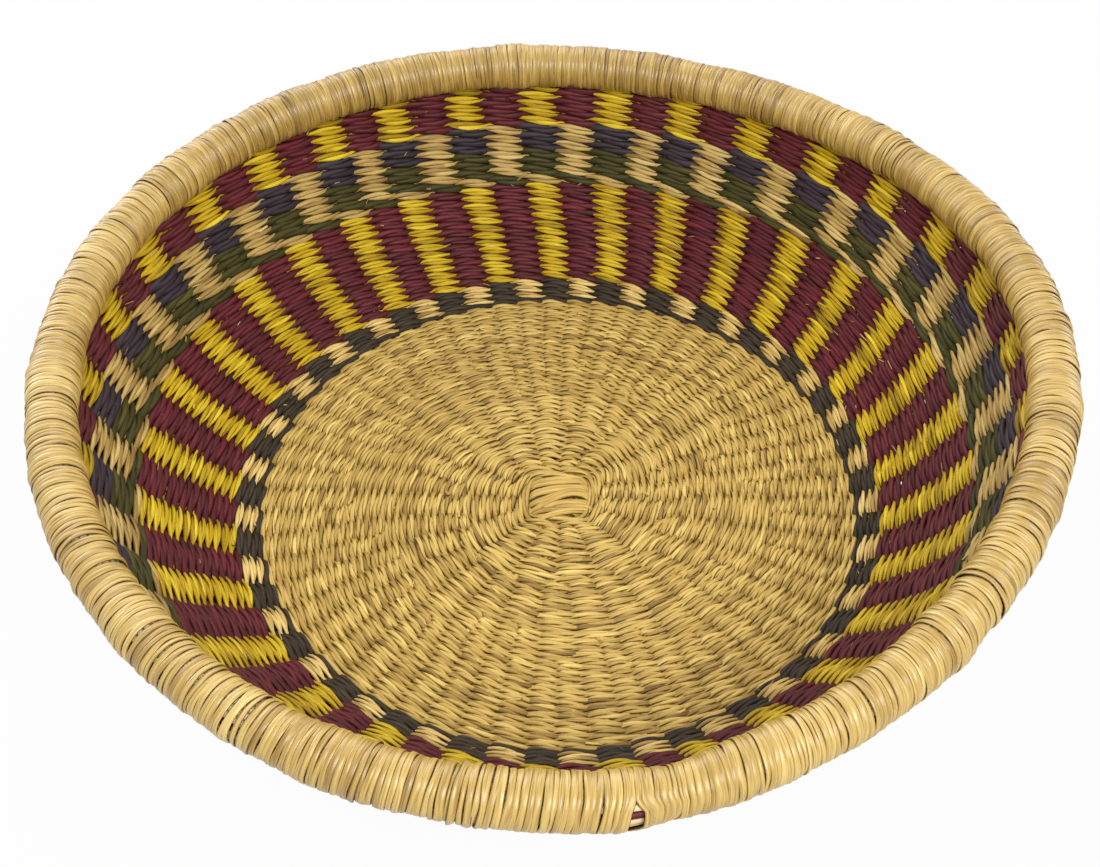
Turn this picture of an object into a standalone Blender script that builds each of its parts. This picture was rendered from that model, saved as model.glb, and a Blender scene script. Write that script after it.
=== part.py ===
"""Twined straw basket: a round bowl woven on radiating stakes, with a fat wrapped rim.

Metres, +Z up. The basket stands on the XY plane, with the middle of its outline over the origin.
The pieces are laid out on a true circle first; hand_drift then moves every point by the small
unevenness of a basket that was woven by hand.
"""
import math

import bmesh
import bpy
from mathutils import Vector

# Counts
STAKE_ARMS = 62
START_STAKES = 4
WRAP_PIECES = 4
ROLL_SIDES = 12
EYE_ROUNDNESS = 8

# Bowl: radii and heights at the middle of the fabric
FLOOR_RADIUS = 0.118
RIM_RADIUS = 0.180
RIM_HEIGHT = 0.0870
WALL_BULGE = 0.0122

# Straw: one stake arm, and the weft on each face of the stakes
STAKE_WIDTH = 0.0028
STAKE_THICKNESS = 0.0020
STAKE_VALLEY = 0.0004
WEFT_THICKNESS = 0.0017
SEAT_GAP = 0.0003

# Start of the floor: where the first stakes cross, and the radii where the others begin and divide
CROSSING_HALF = 0.0120
CROSSING_SPACING = 0.0060
LEVEL_RUN = 0.0022
EYE_HALF = 0.0153
FAN_RADIUS = 0.032
ADDED_RADIUS = 0.034
DIVIDE_RADIUS = 0.058
APART_RADIUS = 0.072

# Weft bands on the wall, as shares of its woven length from the floor up; the top band has the rest
BLACK_SHARE = 0.1134
STRIPE_SHARE = 0.4477
GREEN_SHARE = 0.1540
NAVY_SHARE = 0.1155

# How much of the way from stake to stake a strand of the stripe band stays flat, before it crosses over
FLAT_RUN_SHARE = 0.52

# Rim roll
CORE_RADIUS = 0.0072
WRAP_CLEARANCE = 0.0005
WRAP_THICKNESS = 0.00155
WRAP_GAP = 0.0006
EDGE_GAP = 0.0005

# Unevenness of the hand work, with the direction of each swing
CROWDING = math.radians(5.0)
STAKE_TURN = math.radians(-0.52)
STAKE_SWAY = math.radians(1.60)
STAKE_SWAY_TURN = math.radians(-124.0)
STAKE_RIPPLE = math.radians(0.49)
STAKE_RIPPLE_TURN = math.radians(-23.0)
LEAN = math.radians(2.26)
LEAN_SWAY = math.radians(1.02)
LEAN_SWAY_TURN = math.radians(-15.0)
LEAN_OVAL = math.radians(0.85)
LEAN_OVAL_TURN = math.radians(147.0)
LEAN_RISE_SHARE = 0.57
RIM_SHIFT = 0.0032
RIM_SHIFT_TOWARDS = math.radians(180.0)
RIM_OVAL = 0.0020
RIM_OVAL_TURN = math.radians(147.0)
RIM_LOBE = 0.0021
RIM_LOBE_TURN = math.radians(68.0)
RIM_TILT = 0.0011
RIM_TILT_TOWARDS = math.radians(79.0)
RIM_SADDLE = 0.0027
RIM_SADDLE_TURN = 0.0
RIM_RIPPLE = 0.0018
RIM_RIPPLE_TURN = math.radians(-48.0)

# Sizes that follow
ARM_ANGLE = math.tau / STAKE_ARMS
ADDED_STAKES = STAKE_ARMS // 2 - 4 * START_STAKES
STAKE_REACH = STAKE_THICKNESS / 2
WEFT_NEAR = STAKE_REACH + SEAT_GAP
WEFT_FAR = WEFT_NEAR + WEFT_THICKNESS
FLOOR_LEVEL = WEFT_FAR
CROSSING_LIFT = STAKE_REACH + SEAT_GAP / 2
WRAP_INNER = CORE_RADIUS + WRAP_CLEARANCE
WRAP_OUTER = WRAP_INNER + WRAP_THICKNESS
FLAT_SHARE = math.cos(math.pi / ROLL_SIDES)

WALL_RUN = RIM_RADIUS - FLOOR_RADIUS
WALL_RISE = RIM_HEIGHT - FLOOR_LEVEL
WALL_CHORD = math.hypot(WALL_RUN, WALL_RISE)
ARC_RADIUS = (WALL_CHORD ** 2 / 4 + WALL_BULGE ** 2) / (2 * WALL_BULGE)
ARC_HALF = math.asin(WALL_CHORD / (2 * ARC_RADIUS))
ARC_START = math.atan2(WALL_RISE, WALL_RUN) - ARC_HALF
WALL_LENGTH = 2 * ARC_HALF * ARC_RADIUS

WOVEN_LENGTH = WALL_LENGTH - WRAP_OUTER * FLAT_SHARE - EDGE_GAP
STRIPE_START = WOVEN_LENGTH * BLACK_SHARE
GREEN_START = STRIPE_START + WOVEN_LENGTH * STRIPE_SHARE
NAVY_START = GREEN_START + WOVEN_LENGTH * GREEN_SHARE
TOP_START = NAVY_START + WOVEN_LENGTH * NAVY_SHARE


def wall_station(length):
    """Radius, height and outward direction of the fabric's middle, at a length up the wall."""
    angle = ARC_START + length / ARC_RADIUS
    radius = FLOOR_RADIUS + ARC_RADIUS * (math.sin(angle) - math.sin(ARC_START))
    height = FLOOR_LEVEL - ARC_RADIUS * (math.cos(angle) - math.cos(ARC_START))
    return Vector((radius, height)), Vector((math.sin(angle), -math.cos(angle)))


def floor_edge():
    """The corner where the floor turns up, with the mitre that keeps the fabric's thickness."""
    half = ARC_START / 2
    mitre = Vector((math.sin(half), -math.cos(half))) / math.cos(half)
    return Vector((FLOOR_RADIUS, FLOOR_LEVEL)), mitre


def wall_stations():
    """Lengths at which the wall's straight facets meet, each with its place and direction."""
    lengths = (STRIPE_START, (STRIPE_START + GREEN_START) / 2, GREEN_START, TOP_START)
    stations = [(0.0, *floor_edge())] + [(length, *wall_station(length)) for length in lengths]
    rim = Vector((RIM_RADIUS, RIM_HEIGHT))
    along = (rim - stations[-1][1]).normalized()
    return stations + [(WALL_LENGTH, rim, Vector((along.y, -along.x)))]


STATIONS = wall_stations()
RIM_OUTWARD = STATIONS[-1][2]
RIM_DOWN = Vector((RIM_OUTWARD.y, -RIM_OUTWARD.x))


def fabric(length, offset):
    """A point of the faceted wall, offset from the fabric's middle: outwards if positive."""
    for low, high in zip(STATIONS, STATIONS[1:]):
        if length <= high[0]:
            break
    share = (length - low[0]) / (high[0] - low[0])
    middle = low[1].lerp(high[1], share)
    outward = low[2].lerp(high[2], share)
    return middle + outward * offset


def turned(radius, height, angle):
    return Vector((radius * math.cos(angle), radius * math.sin(angle), height))


def swing(size, waves, angle, turn):
    return size * math.cos(waves * angle - turn)


def smooth_share(value, low, high):
    share = min(max((value - low) / (high - low), 0.0), 1.0)
    return share * share * (3 - 2 * share)


def stake_drift(angle, radius, rise):
    """How far the stakes turn aside: the start crowds them, and they sway and lean on the way up."""
    crowd = smooth_share(radius, FAN_RADIUS, DIVIDE_RADIUS) * CROWDING * math.cos(angle)
    sway = STAKE_TURN + swing(STAKE_SWAY, 1, angle, STAKE_SWAY_TURN)
    sway += swing(STAKE_RIPPLE, 3, angle, STAKE_RIPPLE_TURN)
    lean = LEAN + swing(LEAN_SWAY, 1, angle, LEAN_SWAY_TURN) + swing(LEAN_OVAL, 2, angle, LEAN_OVAL_TURN)
    edge = smooth_share(radius, DIVIDE_RADIUS, FLOOR_RADIUS)
    return crowd + edge * sway + smooth_share(rise, 0.0, LEAN_RISE_SHARE) * lean


def hand_drift(point):
    """Moves a point of the true circle to where the hand-woven basket has it."""
    radius = math.hypot(point.x, point.y)
    angle = math.atan2(point.y, point.x)
    rise = min(max((point.z - FLOOR_LEVEL) / WALL_RISE, 0.0), 1.0)
    angle += stake_drift(angle, radius, rise)
    out = swing(RIM_OVAL, 2, angle, RIM_OVAL_TURN) + swing(RIM_LOBE, 3, angle, RIM_LOBE_TURN)
    out += swing(RIM_SHIFT, 1, angle, RIM_SHIFT_TOWARDS)
    up = swing(RIM_SADDLE, 2, angle, RIM_SADDLE_TURN) + swing(RIM_RIPPLE, 3, angle, RIM_RIPPLE_TURN)
    up += swing(RIM_TILT, 1, angle, RIM_TILT_TOWARDS)
    return turned(radius + rise * out, point.z + rise * up, angle)


def straw_material(name, colour, roughness):
    material = bpy.data.materials.new(name)
    material.use_nodes = True
    shader = material.node_tree.nodes["Principled BSDF"]
    shader.inputs["Base Color"].default_value = (*colour, 1.0)
    shader.inputs["Roughness"].default_value = roughness
    shader.inputs["Metallic"].default_value = 0.0
    material.diffuse_color = (*colour, 1.0)
    return material


def finish_piece(name, bm, colour, roughness, smooth=False):
    """Drifts the points, turns the faces outwards and makes the piece an object of its own."""
    for vertex in bm.verts:
        vertex.co = hand_drift(vertex.co)
    bmesh.ops.recalc_face_normals(bm, faces=bm.faces[:])
    mesh = bpy.data.meshes.new(name)
    bm.to_mesh(mesh)
    bm.free()
    if smooth:
        mesh.shade_smooth()
        mesh.set_sharp_from_angle(angle=math.radians(40))
    mesh.materials.append(straw_material(name, colour, roughness))
    piece = bpy.data.objects.new(name, mesh)
    bpy.context.scene.collection.objects.link(piece)
    return piece


def new_ring(bm, points):
    return [bm.verts.new(point) for point in points]


def loft(bm, rings):
    """Joins each ring of points to the next, side by side."""
    for ring, following in zip(rings, rings[1:]):
        count = len(ring)
        for side in range(count):
            after = (side + 1) % count
            bm.faces.new((ring[side], ring[after], following[after], following[side]))


# Stakes


def arm_angle(arm):
    return arm * ARM_ANGLE


def across_of(angle):
    return Vector((-math.sin(angle), math.cos(angle), 0.0))


def arm_middle(arm, radius, height):
    """A stake runs behind the middle of a facet, so it lies on the facet's chord."""
    return turned(radius * math.cos(ARM_ANGLE / 2), height, arm_angle(arm))


def arm_section(arm, centre, outward):
    """Four corners of an arm: its flat section lies along the fabric."""
    angle = arm_angle(arm)
    across = across_of(angle) * (STAKE_WIDTH / 2)
    lift = turned(outward.x, outward.y, angle) * STAKE_REACH
    return [centre - across - lift, centre + across - lift,
            centre + across + lift, centre - across + lift]


def arm_rings(bm, arm):
    """The rings of an arm past the place where its stake divides, up to the rim's core."""
    down = Vector((0.0, -1.0))
    rings = [new_ring(bm, arm_section(arm, arm_middle(arm, APART_RADIUS, FLOOR_LEVEL), down))]
    for _, place, outward in STATIONS[:-1]:
        rings.append(new_ring(bm, arm_section(arm, arm_middle(arm, *place), outward)))
    end = fabric(WALL_LENGTH - CORE_RADIUS * FLAT_SHARE - SEAT_GAP, 0.0)
    rings.append(new_ring(bm, arm_section(arm, arm_middle(arm, *end), RIM_OUTWARD)))
    return rings


def bundle_section(centre, across):
    """Six points: two straws side by side, with a shallow valley between them on both faces."""
    lift = Vector((0.0, 0.0, STAKE_REACH))
    valley = Vector((0.0, 0.0, STAKE_REACH - STAKE_VALLEY))
    side = across * STAKE_WIDTH
    return [centre - side + lift, centre - side - lift, centre - valley,
            centre + side - lift, centre + side + lift, centre + valley]


def bundle_angle(bundle):
    return (2 * bundle + 0.5) * ARM_ANGLE


def bundle_ring(bm, bundle, radius):
    angle = bundle_angle(bundle)
    return new_ring(bm, bundle_section(turned(radius, FLOOR_LEVEL, angle), across_of(angle)))


def divide(bm, bundle, ring):
    """Parts a stake's two straws at its last ring, and carries each up the wall to the rim."""
    first_top, first_low, valley_low, last_low, last_top, valley_top = ring
    halves = ((first_top, valley_top, valley_low, first_low),
              (valley_top, last_top, last_low, valley_low))
    for half, start in enumerate(halves):
        rings = [list(start)] + arm_rings(bm, 2 * bundle + half)
        loft(bm, rings)
        bm.faces.new(rings[-1])


def crossing_offset(place, way):
    """How far to the side of the middle a start stake lies: place counts across the way it runs."""
    step = (place - (START_STAKES - 1) / 2) * CROSSING_SPACING
    return Vector((-way.y, way.x, 0.0)) * step


def start_bundle(place, way):
    """The place round the floor of a start stake's end: every second one is a start stake's."""
    quarter = round(math.atan2(way.y, way.x) / (math.pi / 2))
    return 2 * ((quarter * START_STAKES + place - START_STAKES // 2) % (4 * START_STAKES))


def start_side(bm, place, way, bundle, lift):
    """Rings of one half of a start stake, from the crossing out to where it divides."""
    across = Vector((-way.y, way.x, 0.0))
    offset = crossing_offset(place, way)
    edge = way * CROSSING_HALF + offset
    level = way * (CROSSING_HALF + LEVEL_RUN) + offset
    rise = Vector((0.0, 0.0, FLOOR_LEVEL + lift))
    floor = Vector((0.0, 0.0, FLOOR_LEVEL))
    return [new_ring(bm, bundle_section(edge + rise, across)),
            new_ring(bm, bundle_section(level + floor, across)),
            bundle_ring(bm, bundle, FAN_RADIUS),
            bundle_ring(bm, bundle, DIVIDE_RADIUS)]


def start_stake(name, place, way, lift, colour):
    """A stake laid right across the start, with both ends divided and carried up to the rim."""
    bm = bmesh.new()
    far_place = START_STAKES - 1 - place
    near_bundle = start_bundle(place, way)
    far_bundle = start_bundle(far_place, -way)
    near = start_side(bm, place, way, near_bundle, lift)
    far = start_side(bm, far_place, -way, far_bundle, lift)
    loft(bm, near)
    loft(bm, far)
    # The far half runs the other way, so its first and last sides change places.
    first_top, first_low, valley_low, last_low, last_top, valley_top = far[0]
    loft(bm, [near[0], [last_top, last_low, valley_low, first_low, first_top, valley_top]])
    divide(bm, near_bundle, near[-1])
    divide(bm, far_bundle, far[-1])
    return finish_piece(name, bm, colour, 0.55)


def added_stake(name, bundle, colour):
    """A stake pushed in between two start stakes, divided farther out like them."""
    bm = bmesh.new()
    rings = [bundle_ring(bm, bundle, ADDED_RADIUS), bundle_ring(bm, bundle, DIVIDE_RADIUS)]
    loft(bm, rings)
    bm.faces.new(rings[0])
    divide(bm, bundle, rings[-1])
    return finish_piece(name, bm, colour, 0.55)


def build_stakes():
    straw = (0.62, 0.45, 0.20)
    for place in range(START_STAKES):
        start_stake(f"start_stake_over_{place + 1}", place, Vector((1.0, 0.0, 0.0)), CROSSING_LIFT, straw)
        start_stake(f"start_stake_under_{place + 1}", place, Vector((0.0, 1.0, 0.0)), -CROSSING_LIFT, straw)
    for number in range(ADDED_STAKES):
        added_stake(f"added_stake_{number + 1:02d}", 2 * number + 1, straw)


# Weft


def turned_ring(outline):
    """A closed outline of radius and height, spun round the basket with a facet to each stake."""
    bm = bmesh.new()
    corners = [bm.verts.new(turned(point.x, point.y, -ARM_ANGLE / 2)) for point in outline]
    sides = [bm.edges.new((corners[i - 1], corners[i])) for i in range(len(corners))]
    bmesh.ops.spin(bm, geom=corners + sides, axis=(0.0, 0.0, 1.0), cent=(0.0, 0.0, 0.0),
                   angle=math.tau, steps=STAKE_ARMS, use_merge=True)
    return bm


def eye_radius(angle):
    """The hole at the middle of the floor weft is a rounded square round the crossing."""
    spread = abs(math.cos(angle)) ** EYE_ROUNDNESS + abs(math.sin(angle)) ** EYE_ROUNDNESS
    return EYE_HALF / spread ** (1 / EYE_ROUNDNESS)


def floor_weft(name, near, far, colour):
    """One face of the floor's weft, from the eye to the edge where the wall starts."""
    corner, mitre = floor_edge()
    step = Vector((SEAT_GAP / 2, 0.0))
    outline = [Vector((EYE_HALF, FLOOR_LEVEL - far)), corner + mitre * far - step,
               corner + mitre * near - step, Vector((EYE_HALF, FLOOR_LEVEL - near))]
    bm = turned_ring(outline)
    for vertex in bm.verts:
        radius = math.hypot(vertex.co.x, vertex.co.y)
        if radius < FAN_RADIUS:
            angle = math.atan2(vertex.co.y, vertex.co.x)
            vertex.co = turned(eye_radius(angle), vertex.co.z, angle)
    return finish_piece(name, bm, colour, 0.6)


def wall_weft(name, start, end, near, far, colour):
    """One face of a wall band that lies on one facet of the wall."""
    outline = [fabric(start, near), fabric(end, near), fabric(end, far), fabric(start, far)]
    return finish_piece(name, turned_ring(outline), colour, 0.6)


def flat_edge(bm, lengths, arm, side, inside):
    """One edge of the flat that a strand makes on a stake: its points up the inner and the outer face."""
    offsets = (-WEFT_FAR, -WEFT_NEAR) if inside else (WEFT_NEAR, WEFT_FAR)
    half = ARM_ANGLE / 2
    turn = side * half * FLAT_RUN_SHARE
    chord = math.cos(half) / math.cos(turn)
    faces = []
    for offset in offsets:
        places = [fabric(length, offset) for length in lengths]
        faces.append(new_ring(bm, [turned(p.x * chord, p.y, arm_angle(arm) + turn) for p in places]))
    return faces


def edge_loop(edge, heights):
    """The points of a flat's edge between two heights, up its inner face and down its outer one."""
    inner, outer = edge
    return [inner[height] for height in heights] + [outer[height] for height in reversed(heights)]


def twined_strand(name, start, end, inside_arms, crossing, colour):
    """A strand that runs inside every second stake and outside the others, and crosses over between.

    The band's other strand does the opposite. One of them crosses in the lower half of the band
    (crossing 0) and the other in the upper half (crossing 1).
    """
    bm = bmesh.new()
    half_gap = SEAT_GAP / 2
    middle = (start + end) / 2 + (half_gap if crossing else -half_gap)
    lengths = (start + half_gap, middle, end - half_gap)
    flats = [[flat_edge(bm, lengths, arm, side, arm % 2 == inside_arms) for side in (-1, 1)]
             for arm in range(STAKE_ARMS)]
    crossing_heights, other_heights = (crossing, crossing + 1), (1 - crossing, 2 - crossing)
    for flat, following in zip(flats, flats[1:] + flats[:1]):
        loft(bm, [edge_loop(edge, (0, 1, 2)) for edge in flat])
        for edge in flat:
            bm.faces.new(edge_loop(edge, other_heights))
        loft(bm, [edge_loop(flat[1], crossing_heights), edge_loop(following[0], crossing_heights)])
    return finish_piece(name, bm, colour, 0.6)


def build_weft():
    natural, maroon, yellow = (0.62, 0.45, 0.20), (0.20, 0.02, 0.03), (0.60, 0.40, 0.03)
    half_gap = SEAT_GAP / 2
    bands = (("black", 0.0, STRIPE_START, (0.04, 0.035, 0.03), natural),
             ("green", GREEN_START, NAVY_START, (0.06, 0.07, 0.02), natural),
             ("navy", NAVY_START, TOP_START, (0.04, 0.035, 0.06), natural),
             ("top", TOP_START, WOVEN_LENGTH + half_gap, yellow, maroon))
    floor_weft("floor_weft_inside", -WEFT_NEAR, -WEFT_FAR, natural)
    floor_weft("floor_weft_outside", WEFT_NEAR, WEFT_FAR, natural)
    for band, start, end, inner, outer in bands:
        low, high = start + half_gap, end - half_gap
        wall_weft(f"{band}_weft_inside", low, high, -WEFT_NEAR, -WEFT_FAR, inner)
        wall_weft(f"{band}_weft_outside", low, high, WEFT_NEAR, WEFT_FAR, outer)
    # The stripe's two strands are named by the face on which each passes the second stake arm
    twined_strand("stripe_weft_inside", STRIPE_START, GREEN_START, 1, 0, maroon)
    twined_strand("stripe_weft_outside", STRIPE_START, GREEN_START, 0, 1, yellow)


# Rim


def roll_point(radius, turn):
    """A point of the rim roll's section: turn counts from where the wall meets the roll."""
    middle = Vector((RIM_RADIUS, RIM_HEIGHT))
    return middle + RIM_DOWN * (radius * math.cos(turn)) + RIM_OUTWARD * (radius * math.sin(turn))


def side_turn(side):
    return (2 * side + 1) * math.pi / ROLL_SIDES


def build_core():
    outline = [roll_point(CORE_RADIUS, side_turn(side)) for side in range(ROLL_SIDES)]
    finish_piece("rim_core", turned_ring(outline), (0.55, 0.40, 0.18), 0.6, smooth=True)


def wrap_section(turn_number, side):
    """Four corners of the wrap: it lies flat on the core and closes up to the turn beside it."""
    at_stakes = side in (0, ROLL_SIDES - 1)
    gap = STAKE_WIDTH + 2 * SEAT_GAP if at_stakes else WRAP_GAP
    middle = (turn_number + 0.5 + side / (ROLL_SIDES - 1)) * ARM_ANGLE
    corners = []
    for way, radius in ((-1, WRAP_INNER), (-1, WRAP_OUTER), (1, WRAP_OUTER), (1, WRAP_INNER)):
        place = roll_point(radius, side_turn(side))
        half = ARM_ANGLE / 2 - gap / (2 * place.x)
        corners.append(turned(place.x, place.y, middle + way * half))
    return corners


def least_gap(sections):
    """Least distance between the facing edges of neighbouring turns of one piece of wrap."""
    drifted = [[hand_drift(corner) for corner in section] for section in sections]
    turns = [drifted[i:i + ROLL_SIDES] for i in range(0, len(drifted), ROLL_SIDES)]
    return min((late - early).length
               for before, after in zip(turns, turns[1:])
               for one in before for early in one[2:]
               for other in after for late in other[:2])


def rim_wrap(number, first, last):
    """One unbroken length of wrap, with one turn between each two stakes."""
    sections = [wrap_section(turn_number, side)
                for turn_number in range(first, last) for side in range(ROLL_SIDES)]
    name = f"rim_wrap_{number + 1}"
    print(f"{name}: {last - first} turns, least gap {least_gap(sections) * 1000:.2f} mm")
    bm = bmesh.new()
    rings = [new_ring(bm, section) for section in sections]
    loft(bm, rings)
    bm.faces.new(rings[0])
    bm.faces.new(rings[-1])
    return finish_piece(name, bm, (0.70, 0.50, 0.22), 0.45, smooth=True)


def build_wraps():
    ends = [STAKE_ARMS * number // WRAP_PIECES for number in range(WRAP_PIECES + 1)]
    return [rim_wrap(number, *pair) for number, pair in enumerate(zip(ends, ends[1:]))]


def stand_on_origin(widest):
    """Hangs every piece on one empty, so that the basket's outline is centred over the origin."""
    points = [vertex.co for piece in widest for vertex in piece.data.vertices]
    xs = [point.x for point in points]
    ys = [point.y for point in points]
    basket = bpy.data.objects.new("basket", None)
    basket.location = (-(min(xs) + max(xs)) / 2, -(min(ys) + max(ys)) / 2, 0.0)
    bpy.context.scene.collection.objects.link(basket)
    for piece in bpy.data.objects:
        if piece is not basket:
            piece.parent = basket


def main():
    for old in list(bpy.data.objects):
        bpy.data.objects.remove(old, do_unlink=True)
    build_stakes()
    build_weft()
    build_core()
    stand_on_origin(build_wraps())


main()
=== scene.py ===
"""A round bowl twined from dyed and natural straw: woven floor and wall, wrapped rim, camera and light.

Metres, +Z up. Every strand follows the basket's own path: two strands of weft cross between each two
stakes, so the one that shows on the inside is hidden on the outside, and the other way about.
"""
import math

import bpy
import numpy as np
from mathutils import Matrix, Vector


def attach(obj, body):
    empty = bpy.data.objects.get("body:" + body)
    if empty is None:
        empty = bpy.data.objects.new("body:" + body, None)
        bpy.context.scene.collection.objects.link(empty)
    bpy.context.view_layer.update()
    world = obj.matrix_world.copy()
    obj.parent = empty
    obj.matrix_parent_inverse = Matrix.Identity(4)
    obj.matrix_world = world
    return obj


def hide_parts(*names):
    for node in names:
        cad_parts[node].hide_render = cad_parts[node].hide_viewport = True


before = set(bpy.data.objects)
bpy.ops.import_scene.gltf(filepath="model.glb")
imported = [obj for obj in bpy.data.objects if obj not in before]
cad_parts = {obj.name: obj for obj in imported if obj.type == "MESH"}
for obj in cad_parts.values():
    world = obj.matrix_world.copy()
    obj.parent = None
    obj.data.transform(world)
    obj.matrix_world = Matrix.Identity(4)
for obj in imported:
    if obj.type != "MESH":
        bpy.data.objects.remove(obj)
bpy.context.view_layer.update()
bpy.ops.object.select_all(action="DESELECT")
rng = np.random.default_rng(62)
TAU = math.tau

# Shape of the bowl, at the middle of the fabric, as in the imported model
STAKES = 62
FLOOR_RADIUS = 0.118
RIM_RADIUS = 0.180
RIM_HEIGHT = 0.0870
FLOOR_LEVEL = 0.0030
WALL_BULGE = 0.0122
BASKET_MIDDLE = np.array((0.00231, 0.00206, 0.0))
ROLL_RADIUS = 0.0086
STEP = TAU / STAKES
OPENING_ANGLE = math.radians(-87.5)
# The rim roll sags a little where it has its opening
SAG = 0.0013
SAG_ANGLE = OPENING_ANGLE + 0.03
SAG_SPREAD = 0.14

WALL_RUN, WALL_RISE = RIM_RADIUS - FLOOR_RADIUS, RIM_HEIGHT - FLOOR_LEVEL
CHORD = math.hypot(WALL_RUN, WALL_RISE)
ARC_RADIUS = (CHORD ** 2 / 4 + WALL_BULGE ** 2) / (2 * WALL_BULGE)
ARC_HALF = math.asin(CHORD / (2 * ARC_RADIUS))
ARC_START = math.atan2(WALL_RISE, WALL_RUN) - ARC_HALF
WALL_LENGTH = 2 * ARC_HALF * ARC_RADIUS
# Half the length over which the floor turns up into the wall, and how far the profile runs on past the rim
TURN_UP = 0.005
PAST_WALL = 0.004

# Unevenness of the hand-woven bowl, as waves round it: size, how many waves, and how far they are turned
# in degrees of a wave. The stakes' sway and lean are in degrees, the rest is in metres.
START_CROWD = 5.0
SWAY_MEAN, SWAY = -0.52, ((1.60, 1, -124), (0.49, 3, -23))
LEAN_MEAN, LEAN = 2.26, ((1.02, 1, -15), (0.85, 2, 147))
LEAN_RISE = 0.57
RIM_REACH = ((0.0020, 2, 147), (0.0021, 3, 68), (0.0032, 1, 180))
RIM_LIFT = ((0.0027, 2, 0), (0.0018, 3, -48), (0.0011, 1, 79))
ROLL_SWELL = ((0.00022, 19, 20), (0.00020, 31, 140), (0.00014, 53, 77))


def smooth(value, low, high):
    """0 up to the low limit, 1 from the high one on, eased between them."""
    share = np.clip((value - low) / (high - low), 0.0, 1.0)
    return share * share * (3 - 2 * share)


# Profile of the fabric from the centre of the floor to the rim, as a table to look up
profile_length = np.linspace(-FLOOR_RADIUS, WALL_LENGTH + PAST_WALL, 4001)
profile_slope = ARC_START + np.maximum(profile_length, 0) / ARC_RADIUS
profile_slope = profile_slope * smooth(profile_length, -TURN_UP, TURN_UP)
profile_step = profile_length[1] - profile_length[0]
half_way = (profile_slope[1:] + profile_slope[:-1]) / 2
profile_radius = np.concatenate([[0.0], np.cumsum(np.cos(half_way))]) * profile_step
profile_height = np.concatenate([[0.0], np.cumsum(np.sin(half_way))]) * profile_step + FLOOR_LEVEL


def swings(waves, angle):
    """The sum of a few waves round the bowl."""
    return sum(size * np.cos(count * angle - math.radians(turned)) for size, count, turned in waves)


def stake_drift(angle, radius, rise):
    """How far the stakes turn aside: the start crowds them, and they sway and lean on the way up."""
    crowd = START_CROWD * smooth(radius, 0.032, 0.058) * np.cos(angle)
    sway = smooth(radius, 0.058, FLOOR_RADIUS) * (SWAY_MEAN + swings(SWAY, angle))
    lean = smooth(rise, 0.0, LEAN_RISE) * (LEAN_MEAN + swings(LEAN, angle))
    return np.radians(crowd + sway + lean)


def hand_drift(radius, angle, height):
    """The unevenness of the hand-woven bowl, and its place over the origin."""
    rise = np.clip((height - FLOOR_LEVEL) / WALL_RISE, 0.0, 1.0)
    angle = angle + stake_drift(angle, radius, rise)
    radius = radius + rise * swings(RIM_REACH, angle)
    height = height + rise * swings(RIM_LIFT, angle)
    return np.stack([radius * np.cos(angle), radius * np.sin(angle), height], -1) + BASKET_MIDDLE


def angle_between(angle, other):
    """The signed angle from the second to the first, the short way round."""
    return np.angle(np.exp(1j * (angle - other)))


def fabric(length, angle, depth):
    """A point of the fabric: length along its profile, angle round it, depth inwards from its middle."""
    radius = np.interp(length, profile_length, profile_radius)
    height = np.interp(length, profile_length, profile_height)
    slope = np.interp(length, profile_length, profile_slope)
    return hand_drift(radius - depth * np.sin(slope), angle, height + depth * np.cos(slope))


def roll(radius, turn, angle):
    """A point of the rim roll: turn counts round its section, from where the wall meets it, outwards."""
    slope = profile_slope[-1]
    down = np.array((-math.cos(slope), -math.sin(slope)))
    outward = np.array((math.sin(slope), -math.cos(slope)))
    sag = SAG * np.exp(-(angle_between(angle, SAG_ANGLE) / SAG_SPREAD) ** 2)
    across = RIM_RADIUS + sag + radius * (np.cos(turn) * down[0] + np.sin(turn) * outward[0])
    height = RIM_HEIGHT - sag + radius * (np.cos(turn) * down[1] + np.sin(turn) * outward[1])
    return hand_drift(across, angle, height)


# Straw tubes


def unit(vectors):
    """The same directions with a length of 1."""
    return vectors / np.maximum(np.linalg.norm(vectors, axis=-1, keepdims=True), 1e-12)


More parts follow.
